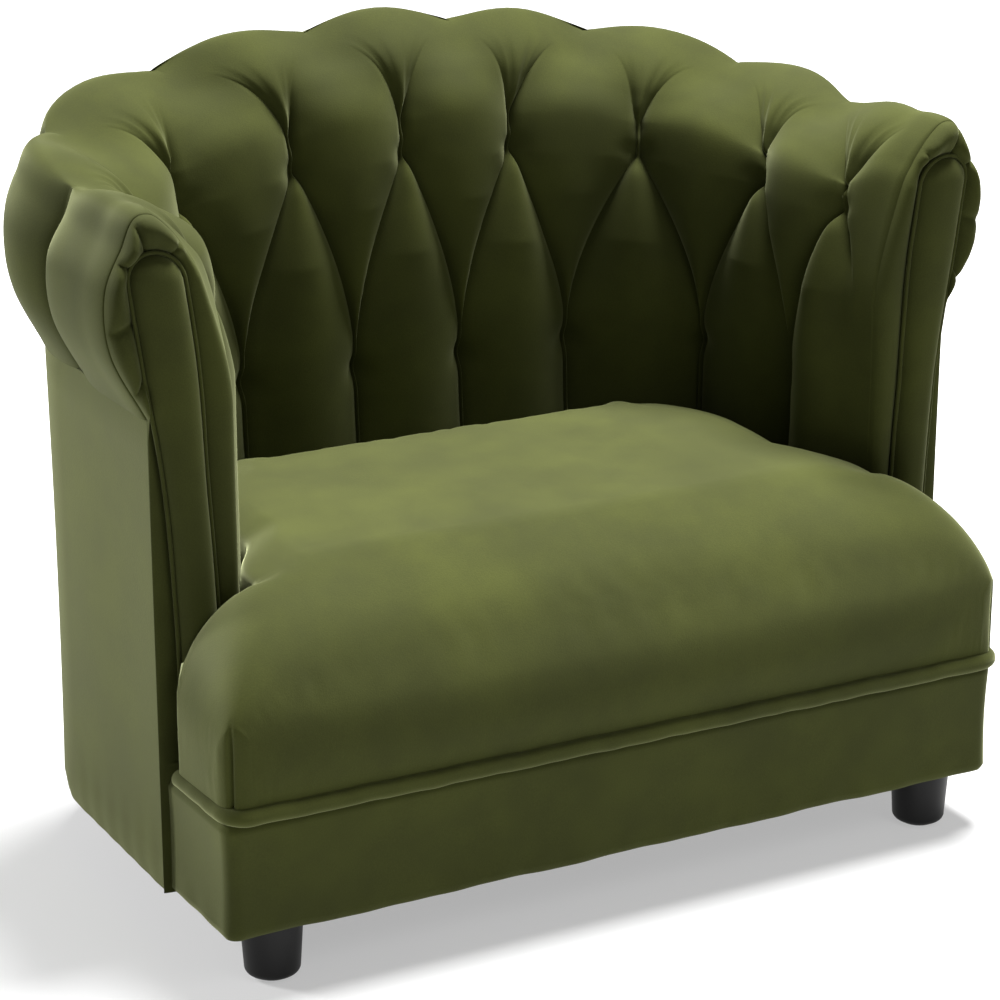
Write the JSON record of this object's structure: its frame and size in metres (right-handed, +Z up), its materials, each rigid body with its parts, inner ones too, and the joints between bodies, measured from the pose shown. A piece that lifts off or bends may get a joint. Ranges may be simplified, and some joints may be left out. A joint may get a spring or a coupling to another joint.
{
  "type": "tub loveseat",
  "caption": "Compact velvet tub loveseat: scalloped, tufted back and arms rolled over the top, lift-out T-shaped seat cushion, short tapered feet.",
  "frame": {"origin": "on the floor, at the middle of the overall width and depth", "axes": "+X to the right as seen from the front, along the seat's width; +Y towards the back; +Z up"},
  "size_m": [1.0514, 0.6478, 0.882],
  "materials": {
    "velvet": "olive green velvet, soft sheen",
    "lining": "black woven lining cloth",
    "wadding": "off-white foam and felt",
    "webbing": "woven elastic webbing",
    "timber": "raw softwood",
    "plywood": "raw plywood",
    "foot_black": "black moulded plastic",
    "glide_grey": "grey plastic glide",
    "zinc_steel": "zinc-plated steel",
    "zip_black": "black nylon zip"
  },
  "bodies": {
    "frame": {"front_rail": "timber", "left_side_rail": "timber", "right_side_rail": "timber", "left_return_rail": "timber", "right_return_rail": "timber", "rear_rail": "plywood", "seat_spreader": "timber", "corner_blocks": "timber", "foot_front_left": "foot_black", "foot_front_right": "foot_black", "foot_rear_left": "foot_black", "foot_rear_right": "foot_black", "foot_glides": "glide_grey", "foot_bolts": "zinc_steel", "foot_nuts": "zinc_steel", "base_border": "velvet", "seat_straps_long": "webbing", "seat_straps_cross": "webbing", "deck_pad": "wadding", "dust_cover": "lining", "right_arm_stump": "plywood", "left_arm_stump": "plywood", "mid_rail": "plywood", "outer_cover": "velvet", "left_arm_pad": "velvet", "back_pad": "velvet", "right_arm_pad": "velvet", "left_arm_front": "velvet", "right_arm_front": "velvet", "left_facing": "velvet", "right_facing": "velvet", "left_facing_piping": "velvet", "right_facing_piping": "velvet", "back_rib_1": "plywood", "back_rib_2": "plywood", "back_rib_3": "plywood", "back_rib_4": "plywood", "back_rib_5": "plywood", "back_rib_6": "plywood", "back_rib_7": "plywood", "back_rib_8": "plywood"},
    "cushion": {"seat_cover": "velvet", "seat_foam": "wadding", "seat_underside": "lining", "seat_welt": "velvet", "zip_tape": "zip_black"},
    "zip": {"zip_slider": "zip_black"}
  },
  "joints": [
    {"name": "cushion_lift", "type": "slide", "parent": "frame", "child": "cushion", "axis": [0, 0, 1], "range_m": [0, 0.72]},
    {"name": "zip_slide", "type": "slide", "parent": "cushion", "child": "zip", "axis": [-1, 0, 0], "range_m": [0, 0.38]}
  ]
}
